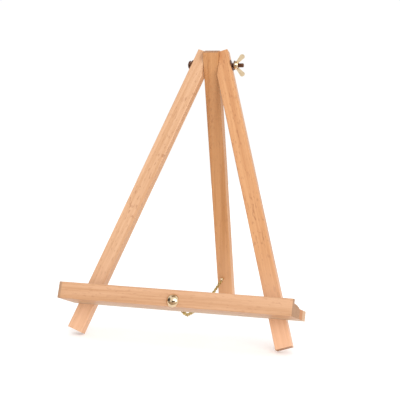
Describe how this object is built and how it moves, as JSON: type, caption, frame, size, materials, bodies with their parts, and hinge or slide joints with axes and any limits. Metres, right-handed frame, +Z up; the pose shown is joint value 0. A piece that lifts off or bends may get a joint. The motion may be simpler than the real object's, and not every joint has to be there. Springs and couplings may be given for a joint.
{
  "type": "tabletop easel",
  "caption": "Small beech tripod easel with a grooved picture ledge, a hinged rear leg with a wing nut, and a brass chain that limits how far it opens.",
  "frame": {"origin": "on the floor, under the middle of the bounding box", "axes": "+X right, -Y towards the viewer in front of the easel, +Z up"},
  "size_m": [0.2698, 0.2138, 0.3144],
  "materials": {
    "beech": "sanded beech with a thin satin lacquer",
    "pale_beech": "sanded pale beech with a thin satin lacquer",
    "brass": "polished brass plate",
    "chain_brass": "bright brass plate, slightly dulled",
    "bronzed_steel": "dark bronzed steel"
  },
  "bodies": {
    "easel_front": {"left_leg": "beech", "right_leg": "beech", "ledge_moulding": "beech", "ledge_rail": "pale_beech", "ledge_screws": "brass", "pivot_bolt": "bronzed_steel", "head_washer": "bronzed_steel", "leg_washer": "bronzed_steel", "dome_bolt": "brass", "dome_bolt_washer": "brass", "eye_nut": "brass"},
    "rear_support": {"rear_leg": "beech", "leg_screw_eye": "brass"},
    "nut_slider": {"nut_washer": "bronzed_steel"},
    "nut": {"wing_nut": "brass"},
    "ring": {"chain_ring": "brass"},
    "front_run_1": {"front_chain_1": "chain_brass"},
    "front_run_2": {"front_chain_2": "chain_brass"},
    "front_run_3": {"front_chain_3": "chain_brass"},
    "front_run_4": {"front_chain_4": "chain_brass"},
    "rear_run_1": {"rear_chain_1": "chain_brass"},
    "rear_run_2": {"rear_chain_2": "chain_brass"},
    "rear_run_3": {"rear_chain_3": "chain_brass"},
    "rear_run_4": {"rear_chain_4": "chain_brass"},
    "rear_run_5": {"rear_chain_5": "chain_brass"},
    "rear_run_6": {"rear_chain_6": "chain_brass"}
  },
  "joints": [
    {"name": "rear_leg_fold", "type": "hinge", "parent": "easel_front", "child": "rear_support", "pos_m": [-0.00385, 0.03853, 0.29608], "axis": [1, 0, 0], "range_deg": [-30.4, 0]},
    {"name": "nut_travel", "type": "slide", "parent": "easel_front", "child": "nut_slider", "axis": [1, 0, 0], "range_m": [0, 0.0041]},
    {"name": "wing_nut_turn", "type": "hinge", "parent": "nut_slider", "child": "nut", "pos_m": [0.02365, 0.03853, 0.29608], "axis": [1, 0, 0], "range_deg": [0, 1800]},
    {"name": "ring_swing", "type": "hinge", "parent": "easel_front", "child": "ring", "pos_m": [-0.00165, -0.06827, 0.03567], "axis": [1, 0, 0], "range_deg": [-23.7, 1]},
    {"name": "front_run_1_swing", "type": "hinge", "parent": "ring", "child": "front_run_1", "pos_m": [-0.00165, -0.06827, 0.03007], "axis": [1, 0, 0], "range_deg": [-69, 1]},
    {"name": "front_run_2_swing", "type": "hinge", "parent": "front_run_1", "child": "front_run_2", "pos_m": [-0.00165, -0.05403, 0.02432], "axis": [1, 0, 0], "range_deg": [-18, 1]},
    {"name": "front_run_3_swing", "type": "hinge", "parent": "front_run_2", "child": "front_run_3", "pos_m": [-0.00165, -0.03874, 0.02298], "axis": [1, 0, 0], "range_deg": [-3.4, 1]},
    {"name": "front_run_4_swing", "type": "hinge", "parent": "front_run_3", "child": "front_run_4", "pos_m": [-0.00165, -0.02341, 0.02228], "axis": [1, 0, 0], "range_deg": [-3.4, 1]},
    {"name": "rear_run_1_swing", "type": "hinge", "parent": "rear_support", "child": "rear_run_1", "pos_m": [-0.00605, 0.08291, 0.0351], "axis": [1, 0, 0], "range_deg": [-1, 89]},
    {"name": "rear_run_2_swing", "type": "hinge", "parent": "rear_run_1", "child": "rear_run_2", "pos_m": [-0.00605, 0.06802, 0.03138], "axis": [1, 0, 0], "range_deg": [-1, 3.4]},
    {"name": "rear_run_3_swing", "type": "hinge", "parent": "rear_run_2", "child": "rear_run_3", "pos_m": [-0.00605, 0.05298, 0.02829], "axis": [1, 0, 0], "range_deg": [-1, 3.4]},
    {"name": "rear_run_4_swing", "type": "hinge", "parent": "rear_run_3", "child": "rear_run_4", "pos_m": [-0.00605, 0.03783, 0.02582], "axis": [1, 0, 0], "range_deg": [-1, 3.4]},
    {"name": "rear_run_5_swing", "type": "hinge", "parent": "rear_run_4", "child": "rear_run_5", "pos_m": [-0.00605, 0.02259, 0.02398], "axis": [1, 0, 0], "range_deg": [-1, 3.4]},
    {"name": "rear_run_6_swing", "type": "hinge", "parent": "rear_run_5", "child": "rear_run_6", "pos_m": [-0.00605, 0.00728, 0.02278], "axis": [1, 0, 0], "range_deg": [-1, 3.4]}
  ],
  "couplings": [
    {"joint": "nut_travel", "follows": "wing_nut_turn", "m_per_rad": 0.00012732},
    {"joint": "ring_swing", "follows": "rear_leg_fold", "ratio": 0.74671},
    {"joint": "front_run_1_swing", "follows": "rear_leg_fold", "ratio": 2.2368},
    {"joint": "front_run_2_swing", "follows": "rear_leg_fold", "ratio": 0.55921},
    {"joint": "front_run_3_swing", "follows": "rear_leg_fold", "ratio": 0.07812},
    {"joint": "front_run_4_swing", "follows": "rear_leg_fold", "ratio": 0.07812},
    {"joint": "rear_run_1_swing", "follows": "rear_leg_fold", "ratio": -2.8947},
    {"joint": "rear_run_2_swing", "follows": "rear_leg_fold", "ratio": -0.07812},
    {"joint": "rear_run_3_swing", "follows": "rear_leg_fold", "ratio": -0.07812},
    {"joint": "rear_run_4_swing", "follows": "rear_leg_fold", "ratio": -0.07812},
    {"joint": "rear_run_5_swing", "follows": "rear_leg_fold", "ratio": -0.07812},
    {"joint": "rear_run_6_swing", "follows": "rear_leg_fold", "ratio": -0.07812}
  ]
}
